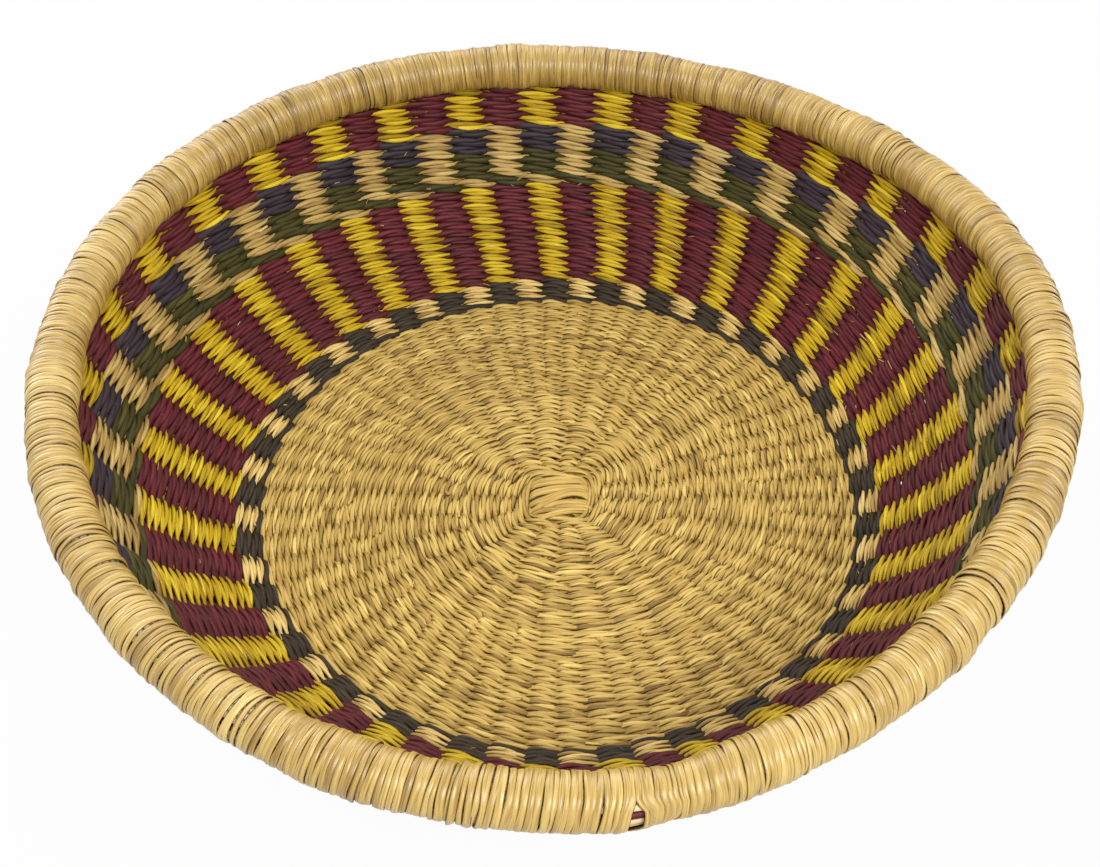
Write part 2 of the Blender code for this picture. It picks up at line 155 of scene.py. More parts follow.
class Straws:
    """Collects straw tubes and makes one piece of them."""

    def __init__(self):
        self.points, self.quads, self.uvs, self.tones, self.shade_depths = [], [], [], [], []
        self.count = 0

    def add(self, path, facing, across, thick, sides, closed, tone, depth, flat=1.0):
        """One tube along a path: facing points off the fabric, across and thick are its half sizes."""
        count = len(path)
        if closed:
            along = np.roll(path, -1, 0) - np.roll(path, 1, 0)
        else:
            along = np.gradient(path, axis=0)
        along = unit(along)
        side = unit(np.cross(along, facing))
        out = np.cross(side, along)
        round_ = np.arange(sides) / sides * TAU
        crest = np.sign(np.sin(round_)) * np.abs(np.sin(round_)) ** flat
        across = np.broadcast_to(across, count)[:, None, None]
        thick = np.broadcast_to(thick, count)[:, None, None]
        ring = (path[:, None] + np.cos(round_)[None, :, None] * across * side[:, None]
                + crest[None, :, None] * thick * out[:, None])
        steps = np.linalg.norm(np.diff(path, axis=0, append=path[:1]), axis=1)
        travelled = np.concatenate([[0.0], np.cumsum(steps)])
        rows = count if closed else count - 1
        i = np.arange(rows)[:, None]
        j = np.arange(sides)[None, :]
        after, beside = (i + 1) % count, (j + 1) % sides
        quads = np.stack([i * sides + j, after * sides + j, after * sides + beside, i * sides + beside], -1)
        low = np.broadcast_to(travelled[:rows, None], (rows, sides))
        high = np.broadcast_to(travelled[1:rows + 1, None], (rows, sides))
        left = np.broadcast_to(j / sides, (rows, sides))
        right = left + 1 / sides
        uvs = np.stack([np.stack([low, left], -1), np.stack([high, left], -1),
                        np.stack([high, right], -1), np.stack([low, right], -1)], 2)
        quads, uvs = quads.reshape(-1, 4), uvs.reshape(-1, 4, 2)
        if not closed:
            caps, last = [], (count - 1) * sides
            for k in range(1, sides - 2, 2):
                caps.append((k + 2, k + 1, k, 0))
                caps.append((last, last + k, last + k + 1, last + k + 2))
            quads = np.concatenate([quads, np.array(caps)])
            uvs = np.concatenate([uvs, np.zeros((len(caps), 4, 2))])
        self.points.append(ring.reshape(-1, 3))
        self.quads.append(quads + self.count)
        self.uvs.append(uvs)
        self.tones.append(np.repeat(np.broadcast_to(tone, count), sides))
        self.shade_depths.append(np.repeat(np.broadcast_to(depth, count), sides))
        self.count += count * sides

    def piece(self, name, material, slot, *nodes):
        """All the tubes as one mesh, with its material and the nodes that it stands for. Its slot is not
        used.
        """
        points = np.concatenate(self.points).astype(np.float32)
        quads = np.concatenate(self.quads).astype(np.int32)
        mesh = bpy.data.meshes.new(name)
        mesh.vertices.add(len(points))
        mesh.vertices.foreach_set("co", points.ravel())
        mesh.loops.add(quads.size)
        mesh.loops.foreach_set("vertex_index", quads.ravel())
        mesh.polygons.add(len(quads))
        mesh.polygons.foreach_set("loop_start", np.arange(0, quads.size, 4, dtype=np.int32))
        mesh.update(calc_edges=True)
        layer = mesh.uv_layers.new(name="StrawMap")
        layer.uv.foreach_set("vector", np.concatenate(self.uvs).astype(np.float32).ravel())
        # Each straw's own tone, and how far it lies open, by which the material paints shade on it
        for label, values in (("straw_tone", self.tones), ("straw_shade_depth", self.shade_depths)):
            attribute = mesh.attributes.new(label, "FLOAT", "POINT")
            attribute.data.foreach_set("value", np.concatenate(values).astype(np.float32))
        mesh.shade_smooth()
        mesh.validate()
        mesh.materials.append(material)
        made = bpy.data.objects.new(name, mesh)
        bpy.context.scene.collection.objects.link(made)
        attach(made, "root")
        if nodes:
            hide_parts(*nodes)


def straw_tones(steps, mean_run, spread=1.0):
    """A tone for each step of a strand: one straw ends and the next begins every now and then."""
    ends = np.cumsum(rng.uniform(0.4, 1.6, max(2, int(3 * steps / mean_run) + 3)) * mean_run)
    which = np.searchsorted(ends, np.arange(steps))
    return rng.normal(0.0, spread, len(ends) + 1)[which]


# Materials


def straw_surface():
    """Grain, tone and wear of one straw, with painted shade at its edges and where it dives: colour,
    roughness and height that change over it.
    """
    group = bpy.data.node_groups.new("StrawSurface", "ShaderNodeTree")
    face = group.interface
    for name in ("Pale", "Middle", "Deep"):
        face.new_socket(name=name, in_out="INPUT", socket_type="NodeSocketColor")
    for name in ("Tone Reach", "Grain Reach", "Edge Shade", "Shade Hue", "Roughness"):
        face.new_socket(name=name, in_out="INPUT", socket_type="NodeSocketFloat")
    face.new_socket(name="Color", in_out="OUTPUT", socket_type="NodeSocketColor")
    face.new_socket(name="Roughness", in_out="OUTPUT", socket_type="NodeSocketFloat")
    face.new_socket(name="Height", in_out="OUTPUT", socket_type="NodeSocketFloat")
    nodes, links = group.nodes, group.links
    given, result = nodes.new("NodeGroupInput"), nodes.new("NodeGroupOutput")

    def math_node(operation, a, b=None, clamp=False):
        node = nodes.new("ShaderNodeMath")
        node.operation = operation
        node.use_clamp = clamp
        for socket, value in zip(node.inputs, (a, b)):
            if value is None:
                continue
            if isinstance(value, (int, float)):
                socket.default_value = value
            else:
                links.new(value, socket)
        return node.outputs[0]

    def attribute(name):
        node = nodes.new("ShaderNodeAttribute")
        node.attribute_name = name
        return node.outputs["Fac"]

    tone, depth = attribute("straw_tone"), attribute("straw_shade_depth")
    place = nodes.new("ShaderNodeUVMap")
    place.uv_map = "StrawMap"
    split = nodes.new("ShaderNodeSeparateXYZ")
    links.new(place.outputs["UV"], split.inputs[0])

    def grain(along, across, detail):
        where = nodes.new("ShaderNodeCombineXYZ")
        links.new(math_node("MULTIPLY", split.outputs[0], along), where.inputs[0])
        links.new(math_node("MULTIPLY", split.outputs[1], across), where.inputs[1])
        links.new(math_node("MULTIPLY", tone, 7.3), where.inputs[2])
        noise = nodes.new("ShaderNodeTexNoise")
        noise.inputs["Scale"].default_value = 1.0
        noise.inputs["Detail"].default_value = detail
        noise.inputs["Roughness"].default_value = 0.6
        links.new(where.outputs[0], noise.inputs["Vector"])
        return noise.outputs["Fac"]

    # Fine fibres and wider blotches run along the straw. With its tone they make the level of its colour
    fibre = grain(70.0, 14.0, 2.0)
    blotch = grain(45.0, 1.3, 1.0)
    wide = math_node("MULTIPLY", math_node("SUBTRACT", blotch, 0.5), 1.4)
    fine = math_node("MULTIPLY", math_node("SUBTRACT", fibre, 0.5), given.outputs["Grain Reach"])
    level = math_node("ADD", 0.5, math_node("MULTIPLY", tone, given.outputs["Tone Reach"]))
    level = math_node("ADD", level, math_node("ADD", math_node("MULTIPLY", wide, 0.35), fine), clamp=True)

    def mix(factor, a, b):
        node = nodes.new("ShaderNodeMix")
        node.data_type = "RGBA"
        links.new(factor, node.inputs["Factor"])
        # The sockets for colour come after those for numbers and vectors
        links.new(a, node.inputs[6])
        links.new(b, node.inputs[7])
        return node.outputs[2]

    lower = math_node("MULTIPLY", level, 2.0, clamp=True)
    upper = math_node("SUBTRACT", math_node("MULTIPLY", level, 2.0), 1.0, clamp=True)
    colour = mix(lower, given.outputs["Deep"], given.outputs["Middle"])
    colour = mix(upper, colour, given.outputs["Pale"])
    shaded = nodes.new("ShaderNodeHueSaturation")
    links.new(colour, shaded.inputs["Color"])
    # 1 along the middle of the straw's outer face, 0 at its edges
    crown = math_node("SINE", math_node("MULTIPLY", split.outputs[1], TAU))
    crown = math_node("MULTIPLY", crown, 1.5, clamp=True)
    # Painted shade: edges are darker, most of all where a strand dives
    diving_shade = math_node("SUBTRACT", 1.7, math_node("MULTIPLY", depth, 0.7))
    edge = math_node("MULTIPLY", math_node("SUBTRACT", 1.0, crown), given.outputs["Edge Shade"])
    lit = math_node("SUBTRACT", 1.0, math_node("MULTIPLY", edge, diving_shade), clamp=True)
    # Painted shade: a strand darkens where it dives between the stakes, as its depth value falls
    recess_shade = math_node("ADD", math_node("MULTIPLY", depth, 0.20), 0.80)
    # Dark lines between the fibres
    streak = math_node("MULTIPLY", math_node("SUBTRACT", fibre, 0.38), 7.0, clamp=True)
    streak = math_node("ADD", math_node("MULTIPLY", streak, 0.20), 0.80)
    value = math_node("MULTIPLY", math_node("MULTIPLY", recess_shade, lit), streak)
    # Where shade is painted, and in the dark fibre lines, the colour is a little redder and fuller
    shade = math_node("SUBTRACT", 1.0, value)
    fuller = math_node("ADD", 1.0, math_node("MULTIPLY", shade, 0.15))
    redder = math_node("SUBTRACT", 0.5, math_node("MULTIPLY", shade, given.outputs["Shade Hue"]))
    links.new(value, shaded.inputs["Value"])
    links.new(fuller, shaded.inputs["Saturation"])
    links.new(redder, shaded.inputs["Hue"])
    links.new(shaded.outputs[0], result.inputs["Color"])
    # Pale fibres are smoother
    smoother = math_node("MULTIPLY", math_node("SUBTRACT", fibre, 0.5), -0.25)
    links.new(math_node("ADD", given.outputs["Roughness"], smoother), result.inputs["Roughness"])
    links.new(fibre, result.inputs["Height"])
    return group


STRAW_SURFACE = straw_surface()


def linear(*rgb):
    """A colour given as 0 to 255 on the screen."""
    shares = [value / 255 for value in rgb]
    return tuple(v / 12.92 if v <= 0.04045 else ((v + 0.055) / 1.055) ** 2.4 for v in shares) + (1.0,)


def straw(name, pale, middle, deep, tone=0.15, grain=0.7, edge=0.6, hue=0.028, roughness=0.5, specular=0.5):
    """A straw material. Its tone and grain run between three colours, and shade is painted at its edges."""
    material = bpy.data.materials.new(name)
    material.use_nodes = True
    nodes, links = material.node_tree.nodes, material.node_tree.links
    shader = nodes["Principled BSDF"]
    surface = nodes.new("ShaderNodeGroup")
    surface.node_tree = STRAW_SURFACE
    for socket, value in (("Pale", linear(*pale)), ("Middle", linear(*middle)), ("Deep", linear(*deep)),
                          ("Tone Reach", tone), ("Grain Reach", grain), ("Edge Shade", edge),
                          ("Shade Hue", hue), ("Roughness", roughness)):
        surface.inputs[socket].default_value = value
    links.new(surface.outputs["Color"], shader.inputs["Base Color"])
    links.new(surface.outputs["Roughness"], shader.inputs["Roughness"])
    relief = nodes.new("ShaderNodeBump")
    relief.inputs["Strength"].default_value = 0.25
    relief.inputs["Distance"].default_value = 0.0002
    links.new(surface.outputs["Height"], relief.inputs["Height"])
    links.new(relief.outputs[0], shader.inputs["Normal"])
    shader.inputs["Specular IOR Level"].default_value = specular
    return material


# Straws by their dye. Natural ones have strong painted shade at their edges, dark ones show little tone and
# grain and little painted shade
SHADED_EDGE = {"edge": 0.86, "specular": 0.4}
DARK_DYE = {"tone": 0.12, "grain": 0.5, "edge": 0.18, "hue": 0.0}
NATURAL_FLOOR = straw("natural_floor_straw", (240, 211, 124), (199, 166, 86), (118, 87, 31),
                      hue=0.020, **SHADED_EDGE)
NATURAL_WALL = straw("natural_wall_straw", (228, 202, 132), (190, 160, 90), (120, 90, 38),
                     tone=0.17, **SHADED_EDGE)
# A paler copy of the natural wall straw for the lowest band: painted light, as if more light fell on the
# foot of the wall
NATURAL_FOOT_PAINTED_LIGHT = straw("natural_foot_straw_painted_light", (248, 222, 148), (218, 186, 108), (140, 106, 44),
                     tone=0.17, edge=0.80, specular=0.4)
YELLOW = straw("yellow_dyed_straw", (237, 212, 62), (195, 163, 25), (125, 96, 7), edge=0.72, specular=0.3)
MAROON = straw("maroon_dyed_straw", (116, 44, 51), (90, 34, 40), (58, 22, 26), specular=0.2, **DARK_DYE)
BLACK = straw("black_dyed_straw", (80, 68, 53), (59, 49, 38), (36, 29, 22), specular=0.18, **DARK_DYE)
NAVY = straw("navy_dyed_straw", (79, 67, 73), (58, 49, 56), (38, 31, 36), specular=0.18, **DARK_DYE)
GREEN = straw("green_dyed_straw", (88, 82, 40), (65, 61, 28), (40, 38, 16), specular=0.18, **DARK_DYE)
STAKE = straw("stake_straw", (238, 209, 126), (205, 171, 90), (138, 103, 38), hue=0.020, **SHADED_EDGE)
RIM = straw("rim_straw", (226, 200, 126), (192, 161, 88), (120, 87, 35),
            edge=0.88, roughness=0.34, specular=0.6)
CORE = straw("core_straw", (246, 226, 176), (226, 200, 148), (160, 128, 76), edge=0.5)


# Stakes


# The square crossing of the start: between its pairs of straws, from its middle to its side, and the
# radii between which the start stakes spread from it
START_PAIR_GAP = 0.0060
START_HALF = 0.0142
START_ROUND = (0.015, 0.034)
stake_offset = rng.normal(0.0, 0.035, STAKES)
stake_lean = 0.06 * np.sin(np.arange(STAKES) * 0.7 + 1.0) + rng.normal(0.0, 0.03, STAKES)


def arm_angle(arm, length):
    """Where a stake arm runs, with its own small offset and lean."""
    up = np.clip(length / WALL_LENGTH, -1.0, 1.0)
    return STEP * (arm + stake_offset[arm] + stake_lean[arm] * up)


BUNDLES = STAKES // 2
start_radius = np.where(np.arange(BUNDLES) % 2 == 0, 0.0, 0.036 + rng.uniform(0, 0.010, BUNDLES))
split_radius = 0.058 + rng.uniform(0.0, 0.028, BUNDLES)


def crossing_angle(bundle):
    """Where a start stake's end leaves the square crossing."""
    quarter, place = divmod(bundle // 2 + 2, 4)
    return quarter * math.pi / 2 + math.atan2((place - 1.5) * START_PAIR_GAP, START_HALF)


def stakes_at(radius):
    """Angles of the stakes that a floor row passes, in order. At the start they are in fours and twos."""
    if radius < 0.0145:
        return np.arange(4) * TAU / 4
    if radius < 0.0170:
        return (np.arange(8) + 0.5) * TAU / 8
    angles = []
    spread = float(smooth(radius, *START_ROUND))
    for bundle in range(BUNDLES):
        if radius < start_radius[bundle]:
            continue
        middle = (2 * bundle + 0.5) * STEP
        if bundle % 2 == 0 and radius < START_ROUND[1]:
            crossing = crossing_angle(bundle)
            middle = crossing + math.remainder(middle - crossing, TAU) * spread
        if radius > split_radius[bundle]:
            part = 0.55 + 0.45 * float(smooth(radius, split_radius[bundle], split_radius[bundle] + 0.014))
            length = radius - FLOOR_RADIUS
            for arm in (2 * bundle, 2 * bundle + 1):
                angles.append(middle + (float(arm_angle(arm, length)) - middle) * part)
        else:
            angles.append(middle)
    return np.sort(np.array(angles) % TAU)


# Weft


PLY_SIDES = 6
# How far a strand stands off the middle of the fabric at a stake, and how steeply it crosses to the next
WALL_AWAY, WALL_SLANT, WALL_SEGMENTS = 0.0016, 0.275, 8
FLOOR_AWAY, START_MORE_AWAY, FLOOR_SLANT, FLOOR_SEGMENTS, START_SEGMENTS = 0.0010, 0.0008, 0.32, 7, 24
# How much thinner a strand gets where it dives between two stakes. A negative taper makes it fuller
PALE_TAPER, MEETING_TAPER, SINGLE_ROW_TAPER, DARK_TAPER, FLOOR_TAPER = 0.62, 0.42, 0.15, -0.48, -0.16
# From stitch to stitch, how much a strand's depth, height, slant and the turn of its plies wander
DEPTH_WANDER, HEIGHT_WANDER, SLANT_WANDER, TURN_WANDER = 0.12, 0.035, 0.04, 0.3
# Two plies of a strand: how far they close up and turn round each other between two stakes
PLY_CLOSING, PLY_TURNING = 0.68, 0.75
# Their half width and half thickness over a stake, in quarters of a row, and how much fuller between two
PLY_WIDTH, PLY_WIDTH_MORE = 1.23, 0.19
PLY_THICK, PLY_THICK_MORE = 0.92, 0.25
# How far a straw end stands off the middle of the fabric
WALL_END, FIBRE_END, FLOOR_END = 0.0026, 0.0025, 0.0018
# Chance of a straw end in a row of wall and of floor, fibres in a row of wall, radius of the first floor end
WALL_ENDS, FLOOR_ENDS, ROW_FIBRES, FIRST_FLOOR_END = 0.75, 0.9, 5, 0.030
# Height of a floor row, radius of the innermost, and the radii at which one piece of floor meets the next
FLOOR_PITCH = 0.00295
START_ROW_RADIUS = 0.0125
FLOOR_RING_EDGES = (0.100, 0.080, 0.054)


def twined_strands(stakes, length, pitch, away, segments, waver, slant, tapers):
    """The two plies of each of a row's two strands. Yields which strand it is, with the tube to add."""
    count = len(stakes)
    # Where the stakes are an odd number, one strand goes round twice instead of two going round once
    loops = 1 if count % 2 == 0 else 2
    steps = count * loops * segments
    s = np.arange(steps) / segments
    turned = np.concatenate([stakes, stakes[:1] + TAU])
    angle = np.interp(s % count, np.arange(count + 1), turned)
    ply = pitch / 4
    for strand in range(2 // loops):
        theta = math.pi * (s - strand)
        show = np.cos(theta)
        between = np.abs(np.sin(theta))
        jitter = np.clip(1 + wander_steps(steps, segments, DEPTH_WANDER), 0.75, 1.12)
        height = waver(angle) + wander_steps(steps, segments, HEIGHT_WANDER) * pitch
        reach = slant + wander_steps(steps, segments, SLANT_WANDER)
        lift = length + height + reach * (np.sin(theta) - np.sin(3 * theta) / 12) * pitch
        depth = away * show * jitter
        own_turn = wander_steps(steps, segments, TURN_WANDER)
        for side in (-1, 1):
            across = side * ply * (1 - PLY_CLOSING * between ** 2)
            inward = side * ply * PLY_TURNING * np.sin(theta + own_turn)
            path = fabric(lift + across, angle, depth + inward)
            facing = unit(fabric(lift + across, angle, depth + inward + 0.001) - path)
            width = ply * (PLY_WIDTH + PLY_WIDTH_MORE * between - tapers[strand] * between ** 3)
            thick = ply * (PLY_THICK + PLY_THICK_MORE * between)
            tone = straw_tones(steps, 9 * segments)
            # How much of the strand shows on the face: where it dives the material paints shade on it
            seen = smooth(np.abs(show), 0.0, 0.60)
            yield strand, path, facing, width, thick, PLY_SIDES, True, tone, seen


def wander_steps(steps, segments, size):
    """Small random differences from stitch to stitch, eased between them."""
    count = steps // segments
    values = rng.normal(0.0, size, count)
    at = np.arange(steps) / segments
    low = np.floor(at).astype(int)
    share = smooth(at - low, 0.0, 1.0)
    return values[low % count] * (1 - share) + values[(low + 1) % count] * share


def row_waver(size):
    """How one row wanders up and down the wall."""
    phases = rng.uniform(0, TAU, 5)
    sizes = rng.normal(0.0, size, 5)
    waves = list(zip(sizes, range(2, 7), phases))
    return lambda angle: sum(size * np.cos(count * angle + phase) for size, count, phase in waves)


shared_sway = row_waver(0.00022)


def loose_end(straws, length, angle, surface, size):
    """The cut end of a straw, or a fibre of one, that stands a little off the inside of the fabric."""
    t = np.linspace(0.0, 1.0, 7)
    reach = rng.choice((-1, 1)) * rng.uniform(0.0035, 0.0075) * size ** 0.5
    run = reach / np.interp(length, profile_length, profile_radius)
    lengths = length + rng.uniform(-0.0018, 0.0018) * t
    depth = surface * (0.2 + 0.9 * t ** 0.6) + rng.uniform(0.0, 0.0008) * t ** 2
    path = fabric(lengths, angle + run * t, depth)
    facing = unit(fabric(lengths, angle + run * t, depth + 0.001) - path)
    width = rng.uniform(0.0004, 0.0007) * size
    straws.add(path, facing, width, 0.0003 * size, PLY_SIDES, False, rng.normal(1.0, 1.0), 1.0)


# Wall bands from the floor up: rows, height of a row, strand shown at even stakes, strand at odd ones
WALL_BANDS = ((1, 0.00225, "black", "black"),
              (3, 0.00300, "black", "black_light"),
              (13, 0.00340, "yellow", "maroon"),
              (1, 0.00385, "green_light", "green"),
              (3, 0.00380, "green", "green_light"),
              (3, 0.00380, "navy", "navy_light"),
              (5, 0.00378, "top_yellow", "top_maroon"))
PALE_STRANDS = ("black_light", "yellow", "green_light", "navy_light", "top_yellow")
wall = {strand: Straws() for *_, even, odd in WALL_BANDS for strand in (even, odd)}
loose_fibres = Straws()


def weave_wall():
    """The bands row by row, each strand in the Straws of its colour, with straw ends and fibres."""
    length = 0.0
    for rows, pitch, even, odd in WALL_BANDS:
        for row in range(rows):
            middle = length + pitch / 2
            stakes = arm_angle(np.arange(STAKES), middle) + rng.normal(0.0, 0.035, STAKES) * STEP
            own_sway = row_waver(0.00005)

            def waver(angle, own_sway=own_sway):
                return shared_sway(angle) + own_sway(angle)
            # Pale stitches are pointed, less so where two bands meet and two pale ends lie together
            point = SINGLE_ROW_TAPER if rows == 1 else PALE_TAPER if 0 < row < rows - 1 else MEETING_TAPER
            tapers = [point if key in PALE_STRANDS else DARK_TAPER for key in (even, odd)]
            for strand, *tube in twined_strands(stakes, middle, pitch, WALL_AWAY, WALL_SEGMENTS, waver,
                                                WALL_SLANT, tapers):
                wall[odd if strand else even].add(*tube)
            if rng.random() < WALL_ENDS:
                arm = int(rng.integers(STAKES))
                loose_end(wall[odd if arm % 2 else even], middle, stakes[arm], WALL_END, 1.0)
            for angle in rng.uniform(0.0, TAU, ROW_FIBRES):
                loose_end(loose_fibres, middle, angle, FIBRE_END, rng.uniform(0.2, 0.5))
            length += pitch


def weave_floor():
    """Natural rows from the crossing out to the edge. They start square and grow round."""
    rings = [Straws() for _ in range(len(FLOOR_RING_EDGES) + 1)]
    radius = FLOOR_RADIUS - FLOOR_PITCH / 2
    while radius > START_ROW_RADIUS:
        stakes = stakes_at(radius)
        if len(stakes) > 10:
            stakes = stakes + rng.normal(0.0, 0.05, len(stakes)) * TAU / len(stakes)
        square = 1 - float(smooth(radius, 0.014, 0.042))
        ripple = row_waver(0.00006)
        away = FLOOR_AWAY + START_MORE_AWAY * (1 - float(smooth(radius, 0.034, 0.066)))

        def waver(angle, radius=radius, square=square, ripple=ripple):
            corners = (np.abs(np.cos(angle)) ** 7 + np.abs(np.sin(angle)) ** 7) ** (-1 / 7) - 1
            shape = radius * square * (0.72 * corners - 0.15 * np.sin(angle) ** 2)
            return shared_sway(angle) * radius / FLOOR_RADIUS + ripple(angle) + shape
        ring = rings[sum(radius <= edge for edge in FLOOR_RING_EDGES)]
        segments = START_SEGMENTS if len(stakes) < 10 else FLOOR_SEGMENTS
        length = radius - FLOOR_RADIUS
        for _, *tube in twined_strands(stakes, length, FLOOR_PITCH, away, segments, waver,
                                       FLOOR_SLANT, (FLOOR_TAPER, FLOOR_TAPER)):
            ring.add(*tube)
        if radius > FIRST_FLOOR_END and rng.random() < FLOOR_ENDS:
            loose_end(ring, length, rng.uniform(0, TAU), FLOOR_END, 1.0)
        radius -= FLOOR_PITCH
    # The long first stitch along the front of the start, of two plies
    t = np.linspace(0.0, 1.0, 15)
    arch, twist = np.sin(math.pi * t), 2.4 * (t - 0.4)
    facing = np.tile((0.0, 0.0, 1.0), (15, 1))
    for side in (-1, 1):
        run = -0.0092 + 0.0215 * t
        across = -0.0124 + 0.0054 * t + 0.0006 * arch + side * 0.00068 * np.cos(twist)
        height = FLOOR_LEVEL + 0.0024 * arch ** 0.5 + side * 0.0004 * np.sin(twist)
        path = np.stack([run, across, height], -1) + BASKET_MIDDLE
        rings[-1].add(path, facing, 0.00085, 0.0007, 8, False, rng.normal(0.5, 0.4), 1.0)
    return rings


weave_wall()
wall["black"].piece("black_weft", BLACK, "black_straw", "black_weft_inside")
wall["black_light"].piece("black_band_light_weft", NATURAL_FOOT_PAINTED_LIGHT, "natural_straw", "black_weft_outside")
wall["maroon"].piece("stripe_weft_maroon", MAROON, "maroon_straw", "stripe_weft_inside")
wall["yellow"].piece("stripe_weft_yellow", YELLOW, "yellow_straw", "stripe_weft_outside")
wall["green"].piece("green_weft", GREEN, "green_straw", "green_weft_inside")
wall["green_light"].piece("green_band_light_weft", NATURAL_WALL, "natural_straw", "green_weft_outside")
wall["navy"].piece("navy_weft", NAVY, "navy_straw", "navy_weft_inside")
wall["navy_light"].piece("navy_band_light_weft", NATURAL_WALL, "natural_straw", "navy_weft_outside")
wall["top_yellow"].piece("top_weft_yellow", YELLOW, "yellow_straw", "top_weft_inside")
wall["top_maroon"].piece("top_weft_maroon", MAROON, "maroon_straw", "top_weft_outside")
loose_fibres.piece("loose_wall_fibres", NATURAL_WALL, "natural_straw")
floor_rings = weave_floor()
floor_rings[0].piece("floor_weft_edge", NATURAL_FLOOR, "natural_straw", "floor_weft_inside")
floor_rings[1].piece("floor_weft_outer", NATURAL_FLOOR, "natural_straw", "floor_weft_outside")
floor_rings[2].piece("floor_weft_middle", NATURAL_FLOOR, "natural_straw")
floor_rings[3].piece("floor_weft_start", NATURAL_FLOOR, "natural_straw")


# Straws of the start as they lie over the middle: places (x, y) along each, and its half width
START_STRAWS = ((((-0.0103, 0.0064), (-0.0040, 0.0087), (0.0010, 0.0094), (0.0066, 0.0087)), 0.00115),
                (((-0.0107, 0.0047), (0.0000, 0.0072), (0.0091, 0.0076)), 0.00155),
                (((-0.0107, 0.0008), (0.0000, 0.0040), (0.0112, 0.0042)), 0.00195),
                (((-0.0103, -0.0036), (-0.0040, -0.0009), (0.0010, 0.0017), (0.0119, 0.0010)), 0.00135),
                (((-0.0093, -0.0068), (-0.0040, -0.0035), (0.0010, -0.0006), (0.0123, -0.0013)), 0.00130),
                (((-0.0068, -0.0072), (-0.0008, -0.0039), (0.0045, -0.0030), (0.0123, -0.0036)), 0.00145),
                (((-0.0025, -0.0068), (0.0017, -0.0059), (0.0063, -0.0053), (0.0125, -0.0060)), 0.00110),
                (((-0.0096, -0.0090), (-0.0040, -0.0076), (0.0017, -0.0074), (0.0060, -0.0082)), 0.00140))


# How far the straws of the start run on past their seen ends, under the weft
HIDDEN_END = 0.0045
BEND_OUT, BEND_IN = 0.0030, 0.0020
# Radius at which the arms of added and of start stakes begin
ADDED_LOW, START_LOW = 0.040, 0.0215


def lay_start_straws(straws):
    """The straws on top at the start, laid side by side across the middle of the floor."""
    for number, (places, half_width) in enumerate(START_STRAWS):
        x, y = np.array(places).T
        run = np.linspace(x[0] - HIDDEN_END, x[-1] + HIDDEN_END, 25)
        within = np.clip(run, x[0], x[-1])
        across = np.polyval(np.polyfit(x, y, len(x) - 1), within)
        risen = smooth(run, x[0] - BEND_OUT, x[0] + BEND_IN)
        risen = risen * (1 - smooth(run, x[-1] - BEND_IN, x[-1] + BEND_OUT))
        height = FLOOR_LEVEL - 0.0012 + 0.0028 * risen + 0.00022 * math.sin(2.1 * number)
        path = np.stack([run, across, height], -1) + BASKET_MIDDLE
        facing = unit(np.array((0.0, 0.12 * math.sin(1.7 * number), 1.0)))
        width = half_width * (1 + 0.10 * np.sin(300 * run + number))
        straws.add(path, np.tile(facing, (25, 1)), width, 0.00105, 10, False, rng.normal(0.0, 0.7), 1.0)


def lay_under_straws(straws):
    """The other set at the start, beneath the first, in pairs along Y."""
    t = np.linspace(-1, 1, 17)
    run = t * 0.0200
    dip = 1 - smooth(np.abs(run), 0.0095, 0.0130)
    height = FLOOR_LEVEL - 0.0014 * dip - 0.0003 * np.cos(t * 1.4)
    facing = np.tile((0.0, 0.0, 1.0), (17, 1))
    for place in range(4):
        for half in (-1, 1):
            side = (place - 1.5) * START_PAIR_GAP + half * 0.00150 + rng.normal(0, 0.00015)
            side = side + rng.normal(0, 0.0003) * t + rng.normal(0, 0.00025) * np.sin(3 * t)
            path = np.stack([side, run, height], -1) + BASKET_MIDDLE
            straws.add(path, facing, 0.00170, 0.0008, 8, False, rng.normal(0.3, 0.6), 1.0)


def stake_arm(bundle, arm):
    """Lengths along the profile and angles of one arm, from its inner end to inside the rim roll."""
    low = ADDED_LOW if bundle % 2 else START_LOW
    radius = np.linspace(low, FLOOR_RADIUS, 22)
    middle = (2 * bundle + 0.5) * STEP
    near = np.full(len(radius), middle)
    if bundle % 2 == 0:
        crossing = crossing_angle(bundle)
        near = crossing + math.remainder(middle - crossing, TAU) * smooth(radius, *START_ROUND)
    own = arm_angle(arm, radius - FLOOR_RADIUS)
    part = smooth(radius, 0.060, 0.090)
    apart = (0.0013 / radius) * (1 if arm % 2 else -1) * (1 - part)
    up = np.linspace(0.004, WALL_LENGTH - 0.0045, 24)
    lengths = np.concatenate([radius - FLOOR_RADIUS, up])
    return lengths, np.concatenate([near + apart + (own - middle) * part, arm_angle(arm, up)])


def build_stakes():
    """Stake arms inside the fabric, with the start stakes' straws laid across the middle of the floor."""
    over, under, added = Straws(), Straws(), Straws()
    for bundle in range(BUNDLES):
        kind = added if bundle % 2 else (over, under)[(bundle // 2 + 2) // 4 % 2]
        for arm in (2 * bundle, 2 * bundle + 1):
            lengths, angles = stake_arm(bundle, arm)
            path = fabric(lengths, angles, np.zeros(len(lengths)))
            facing = unit(fabric(lengths, angles, np.full(len(lengths), 0.001)) - path)
            # Stakes lie within the fabric: their depth value of 0.7 gives them painted shade
            kind.add(path, facing, 0.0012, 0.0009, 6, False, rng.normal(), 0.7)
    lay_start_straws(over)
    lay_under_straws(under)
    over.piece("start_stakes_over", STAKE, "stake_straw", *[f"start_stake_over_{n}" for n in range(1, 5)])
    under.piece("start_stakes_under", STAKE, "stake_straw", *[f"start_stake_under_{n}" for n in range(1, 5)])
    added.piece("added_stakes", STAKE, "stake_straw", *[f"added_stake_{n:02d}" for n in range(1, 16)])


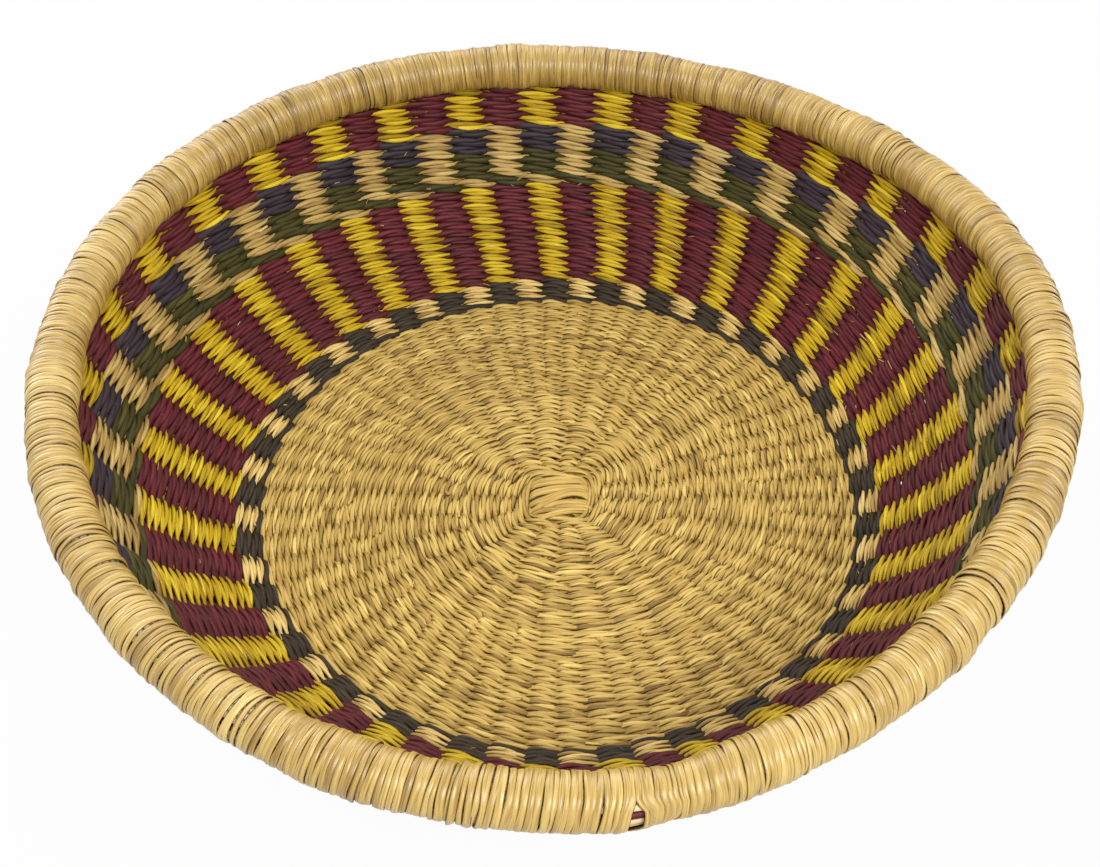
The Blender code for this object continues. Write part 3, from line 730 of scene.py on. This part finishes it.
build_stakes()


# Rim


# Rings of core straws: radius in the roll and how many. The dyed straw is given as its ring and its number
CORE_RINGS = ((0.0067, 17), (0.0034, 8))
DYED_CORE_STRAW = (0, 6)
CORE_STEPS = 180
TURNS = 650
WRAP_STEPS = 32
WRAP_START = -math.pi / 2 - 0.3
WRAP_THICKNESS = 0.00047
# The hand's unevenness in the turns: spread of their widths, lift off the core and tone, and how much of a
# turn's width a slit beside it may take
WIDTH_SPREAD, LIFT_SPREAD, TONE_SPREAD, SLIT_MOST = 0.15, 0.00012, 0.5, 0.36
# Share of the turns that lie over others, and how far they stand off
OVER_SHARE, OVER_LIFT = 0.16, 0.00030
# Width of a turn to its share of the way round, and how much less a turn over others has
TURN_OVERLAP, OVER_LESS = 1.36, 0.06
# Half the flat under the roll, where the wrap goes through the fabric
FLAT_HALF = math.radians(24)
# The opening: where it is round the roll, how far the turns give way on its two sides, how fast that fades
# round the bowl, and how much narrower they get by it
OPENING_TURN, OPENING_TURN_HALF = math.radians(110), math.radians(36)
OPENING_STEP = int(WRAP_STEPS * OPENING_TURN / TAU)
OPENING_RIGHT, OPENING_LEFT, OPENING_FADE, OPENING_PRESS = 0.0180, -0.0045, 0.055, 11.0
# How far the roll draws in to the right of it, and how fast that fades
DRAWN_IN, DRAWN_FADE = 0.0009, 0.13
wrap_turn = np.arange(WRAP_STEPS) / WRAP_STEPS * TAU


def roll_bumps(angle):
    """How the roll swells, and draws in to the right of the opening where the wrap was pulled tight."""
    past = angle_between(angle, OPENING_ANGLE)
    drawn = smooth(past, 0.012, 0.050) * np.exp(-np.maximum(past, 0) / DRAWN_FADE)
    return swings(ROLL_SWELL, angle) - DRAWN_IN * drawn


def build_core():
    """The bundle of straws that the wrap goes round."""
    straws, dyed = Straws(), Straws()
    angle = np.arange(CORE_STEPS) / CORE_STEPS * TAU
    for ring, (ring_radius, count) in enumerate(CORE_RINGS):
        for number in range(count):
            turn = TAU * number / count + 0.11 + 0.3 * np.sin(angle - 0.5)
            radius = ring_radius + roll_bumps(angle)
            path = roll(radius + 0.0001 * np.cos(5 * angle + number), turn, angle)
            facing = unit(roll(radius + 0.001, turn, angle) - path)
            bundle = dyed if (ring, number) == DYED_CORE_STRAW else straws
            # The core lies under the wrap: its depth value of 0.85 gives it a little painted shade
            bundle.add(path, facing, 0.0014, 0.0012, 6, True, straw_tones(CORE_STEPS, 40), 0.85)
    straws.piece("rim_core_straws", CORE, "core_straw", "rim_core")
    dyed.piece("rim_core_dyed_straw", MAROON, "maroon_straw")


def lay_wrap(over):
    """Middle lines and half widths of the turns: angles round the bowl, for steps round the roll."""
    widths = np.clip(rng.normal(1.0, WIDTH_SPREAD, TURNS), 0.65, 1.4)
    widths = widths / widths.sum() * TAU
    level = np.cumsum(widths) - widths / 2 + WRAP_START
    phases = rng.uniform(0, TAU, (3, TURNS, 1))
    lean = 0.010 + 0.007 * np.sin(level * 3 + 1) + 0.004 * np.sin(level * 11)
    winding = (wrap_turn / TAU - 0.5) * TAU / TURNS
    middles = level[:, None] + lean[:, None] * np.sin(wrap_turn / 2 - 0.2) + winding
    away = np.abs(angle_between(middles, OPENING_ANGLE))
    # A turn that lies over others may slant across them, though not beside the opening
    slanting = 1 + 0.35 * over[:, None] * smooth(away, 0.05, 0.14)
    sway = 0.14 * np.sin(wrap_turn + phases[0]) + 0.08 * np.sin(2 * wrap_turn + phases[1])
    sway = sway * slanting + 0.03 * np.sin(5 * wrap_turn + phases[2])
    middles = middles + sway * TAU / TURNS
    # The wrap parts between two turns at the front, low on the outer side, and gives way to the right
    is_right = middles[:, OPENING_STEP:OPENING_STEP + 1] > OPENING_ANGLE
    beside = np.where(is_right, OPENING_RIGHT, OPENING_LEFT)
    low = np.exp(-((wrap_turn - OPENING_TURN) / OPENING_TURN_HALF) ** 6)
    spread = np.exp(-away / OPENING_FADE) * low
    halves = widths[:, None] / 2 * (1 - OPENING_PRESS * np.abs(beside) * spread)
    return middles + beside * spread, halves


def build_wraps():
    """One straw wound round and round the roll, with the small overlaps and gaps of hand work."""
    over = rng.random(TURNS) < OVER_SHARE
    middles, halves = lay_wrap(over)
    lift = rng.normal(0, LIFT_SPREAD, TURNS)
    slit = rng.uniform(0.0, SLIT_MOST, TURNS)
    # Painted shade: the straw's tone is darker towards the back of the bowl
    tones = straw_tones(TURNS, 7, 0.40) + rng.normal(0, TONE_SPREAD, TURNS)
    tones = tones - 0.35 - 0.5 * np.sin(middles[:, 0])
    # The wrap goes through the fabric under the roll, so it pulls in to a flat there
    beside = np.abs(angle_between(wrap_turn, 0.0))
    pulled_in = math.cos(FLAT_HALF) / np.cos(np.minimum(beside, FLAT_HALF))
    base = ROLL_RADIUS * np.where(beside < FLAT_HALF, pulled_in, 1.0)
    for quarter in range(4):
        straws = Straws()
        for n in range(TURNS * quarter // 4, TURNS * (quarter + 1) // 4):
            first, second, third = rng.uniform(0, TAU, 3)
            radius = base + lift[n] + OVER_LIFT * over[n] + roll_bumps(middles[n].mean())
            radius = radius + 0.00012 * np.sin(wrap_turn * 2 + second)
            radius = radius + 0.00007 * np.sin(wrap_turn * 5 + first)
            path = roll(radius, wrap_turn, middles[n])
            facing = unit(roll(radius + 0.001, wrap_turn, middles[n]) - path)
            round_bowl = np.stack([-np.sin(middles[n]), np.cos(middles[n]), np.zeros(WRAP_STEPS)], -1)
            facing = unit(facing + rng.normal(0, 0.16) * round_bowl)
            narrow = slit[n] * np.exp(-((wrap_turn - rng.uniform(1.0, 4.4)) / rng.uniform(0.2, 0.5)) ** 2)
            share = TURN_OVERLAP - OVER_LESS * over[n] + 0.05 * np.sin(wrap_turn * 2 + third) - narrow
            across = halves[n] * np.linalg.norm(path[:, :2], axis=1) * share
            straws.add(path, facing, across, WRAP_THICKNESS, 8, True, tones[n], 1.0, 0.5)
        straws.piece(f"rim_wrap_straw_{quarter + 1}", RIM, "rim_straw", f"rim_wrap_{quarter + 1}")


build_core()
build_wraps()


# Stage, light and camera


WHITE = (1.0, 1.0, 1.0, 1.0)
WARM_WHITE = (1.0, 0.99, 0.97, 1.0)
FLOOR_SIZE = 60.0
FLOOR_GREY = (0.36, 0.36, 0.36, 1.0)
FLOOR_LIGHT = 0.30
AMBIENT_LIGHT = 0.55
# How white the camera sees the floor, by distance from the bowl's middle
NEAR_WHITE, FAR_WHITE = (0.25, 0.94), (1.3, 1.0)
# Lamps: name, place, height of the point over the middle that it is aimed at, size, watts
LAMPS = (("window", (0.26, -0.80, 0.95), 0.03, 0.7, 12.6),
         ("fill", (-0.35, 0.95, 0.85), 0.03, 1.2, 8),
         ("low_fill_left", (-1.0, 0.75, 0.40), 0.05, 0.8, 6.5),
         ("low_fill_right", (1.1, 0.60, 0.40), 0.05, 0.8, 4.5))
# The photograph's view. Distance and aim are in floor radii, the focal length in the photograph's pixels
VIEW_HEIGHT = math.radians(48.63)
VIEW_DISTANCE = 5.4288
VIEW_AIM = (-0.033, 0.281, 0.0)
VIEW_ROLL = math.radians(0.178)
FOCAL_PIXELS, PHOTO_WIDTH = 1600.16, 1100
SENSOR_WIDTH = 36.0


def seen_white(nodes, links):
    """1 for the rays that see the white backdrop: those of the camera, of gloss and of clear things."""
    path = nodes.new("ShaderNodeLightPath")
    seen = path.outputs["Is Camera Ray"]
    for ray in ("Is Glossy Ray", "Is Transmission Ray"):
        either = nodes.new("ShaderNodeMath")
        either.operation = "MAXIMUM"
        links.new(seen, either.inputs[0])
        links.new(path.outputs[ray], either.inputs[1])
        seen = either.outputs[0]
    return seen


def mixed(nodes, links, share, first, second):
    """The first shader where the share is 0 and the second where it is 1."""
    blend = nodes.new("ShaderNodeMixShader")
    links.new(share, blend.inputs[0])
    links.new(first.outputs[0], blend.inputs[1])
    links.new(second.outputs[0], blend.inputs[2])
    return blend


def build_stage():
    """The pale floor under the bowl."""
    bpy.ops.mesh.primitive_plane_add(size=FLOOR_SIZE, location=(0.0, 0.0, 0.0))
    ground = bpy.context.object
    ground.name = "pale_floor"
    material = bpy.data.materials.new("pale_floor")
    material.use_nodes = True
    shader = material.node_tree.nodes["Principled BSDF"]
    shader.inputs["Base Color"].default_value = FLOOR_GREY
    shader.inputs["Roughness"].default_value = 0.8
    shader.inputs["Specular IOR Level"].default_value = 0.1
    # A weak even light of its own reaches the underside of the bowl
    shader.inputs["Emission Color"].default_value = WARM_WHITE
    shader.inputs["Emission Strength"].default_value = FLOOR_LIGHT
    # The camera sees the floor nearly white, with the object's shadow kept faint on it
    nodes, links = material.node_tree.nodes, material.node_tree.links
    glow = nodes.new("ShaderNodeEmission")
    glow.inputs["Color"].default_value = WHITE
    glow.inputs["Strength"].default_value = 1.0
    # Further away the floor runs into the white of the backdrop
    place = nodes.new("ShaderNodeTexCoord")
    distance = nodes.new("ShaderNodeVectorMath")
    distance.operation = "LENGTH"
    links.new(place.outputs["Object"], distance.inputs[0])
    far = nodes.new("ShaderNodeMapRange")
    far.interpolation_type = "SMOOTHSTEP"
    far.inputs["From Min"].default_value, far.inputs["To Min"].default_value = NEAR_WHITE
    far.inputs["From Max"].default_value, far.inputs["To Max"].default_value = FAR_WHITE
    links.new(distance.outputs["Value"], far.inputs["Value"])
    part = nodes.new("ShaderNodeMath")
    part.operation = "MULTIPLY"
    links.new(seen_white(nodes, links), part.inputs[0])
    links.new(far.outputs["Result"], part.inputs[1])
    above = mixed(nodes, links, part.outputs[0], shader, glow)
    # From below the floor is clear, so that the underside of the bowl can be looked at
    clear = nodes.new("ShaderNodeBsdfTransparent")
    facing = nodes.new("ShaderNodeNewGeometry")
    sides = mixed(nodes, links, facing.outputs["Backfacing"], above, clear)
    links.new(sides.outputs[0], nodes["Material Output"].inputs["Surface"])
    ground.data.materials.append(material)


def build_world():
    """The white backdrop, with a weaker even light from it."""
    world = bpy.data.worlds.new("studio")
    bpy.context.scene.world = world
    world.use_nodes = True
    nodes, links = world.node_tree.nodes, world.node_tree.links
    ambient = nodes["Background"]
    ambient.inputs["Color"].default_value = WARM_WHITE
    ambient.inputs["Strength"].default_value = AMBIENT_LIGHT
    white = nodes.new("ShaderNodeBackground")
    white.inputs["Color"].default_value = WHITE
    white.inputs["Strength"].default_value = 1.0
    blend = mixed(nodes, links, seen_white(nodes, links), ambient, white)
    links.new(blend.outputs[0], nodes["World Output"].inputs["Surface"])


def soft_lamp(name, place, aim_height, size, watts):
    """A round lamp with soft shadows."""
    lamp = bpy.data.lights.new(name, "AREA")
    lamp.shape = "DISK"
    lamp.size = size
    lamp.energy = watts
    made = bpy.data.objects.new(name, lamp)
    bpy.context.scene.collection.objects.link(made)
    made.location = place
    towards = Vector((0.0, 0.0, aim_height)) - Vector(place)
    made.rotation_euler = towards.to_track_quat("-Z", "Y").to_euler()


def build_camera():
    """The photograph's own view: its place, aim, roll and focal length."""
    middle = Vector((BASKET_MIDDLE[0], BASKET_MIDDLE[1], 2 * FLOOR_LEVEL))
    back = Vector((0.0, -math.cos(VIEW_HEIGHT), math.sin(VIEW_HEIGHT)))
    place = middle + back * (VIEW_DISTANCE * FLOOR_RADIUS)
    aim = middle + Vector(VIEW_AIM) * FLOOR_RADIUS
    forward = (aim - place).normalized()
    right = forward.cross(Vector((0.0, 0.0, 1.0))).normalized()
    up = right.cross(forward)
    turn_cos, turn_sin = math.cos(VIEW_ROLL), math.sin(VIEW_ROLL)
    right, up = right * turn_cos + up * turn_sin, up * turn_cos - right * turn_sin
    data = bpy.data.cameras.new("camera")
    data.sensor_fit = "HORIZONTAL"
    data.sensor_width = SENSOR_WIDTH
    data.lens = SENSOR_WIDTH * FOCAL_PIXELS / PHOTO_WIDTH
    data.clip_start = 0.01
    camera = bpy.data.objects.new("camera", data)
    bpy.context.scene.collection.objects.link(camera)
    camera.matrix_world = Matrix((
        (right.x, up.x, -forward.x, place.x),
        (right.y, up.y, -forward.y, place.y),
        (right.z, up.z, -forward.z, place.z),
        (0.0, 0.0, 0.0, 1.0)))
    bpy.context.scene.camera = camera


build_stage()
build_world()
for lamp_values in LAMPS:
    soft_lamp(*lamp_values)
build_camera()
bpy.context.scene.view_settings.view_transform = "Standard"
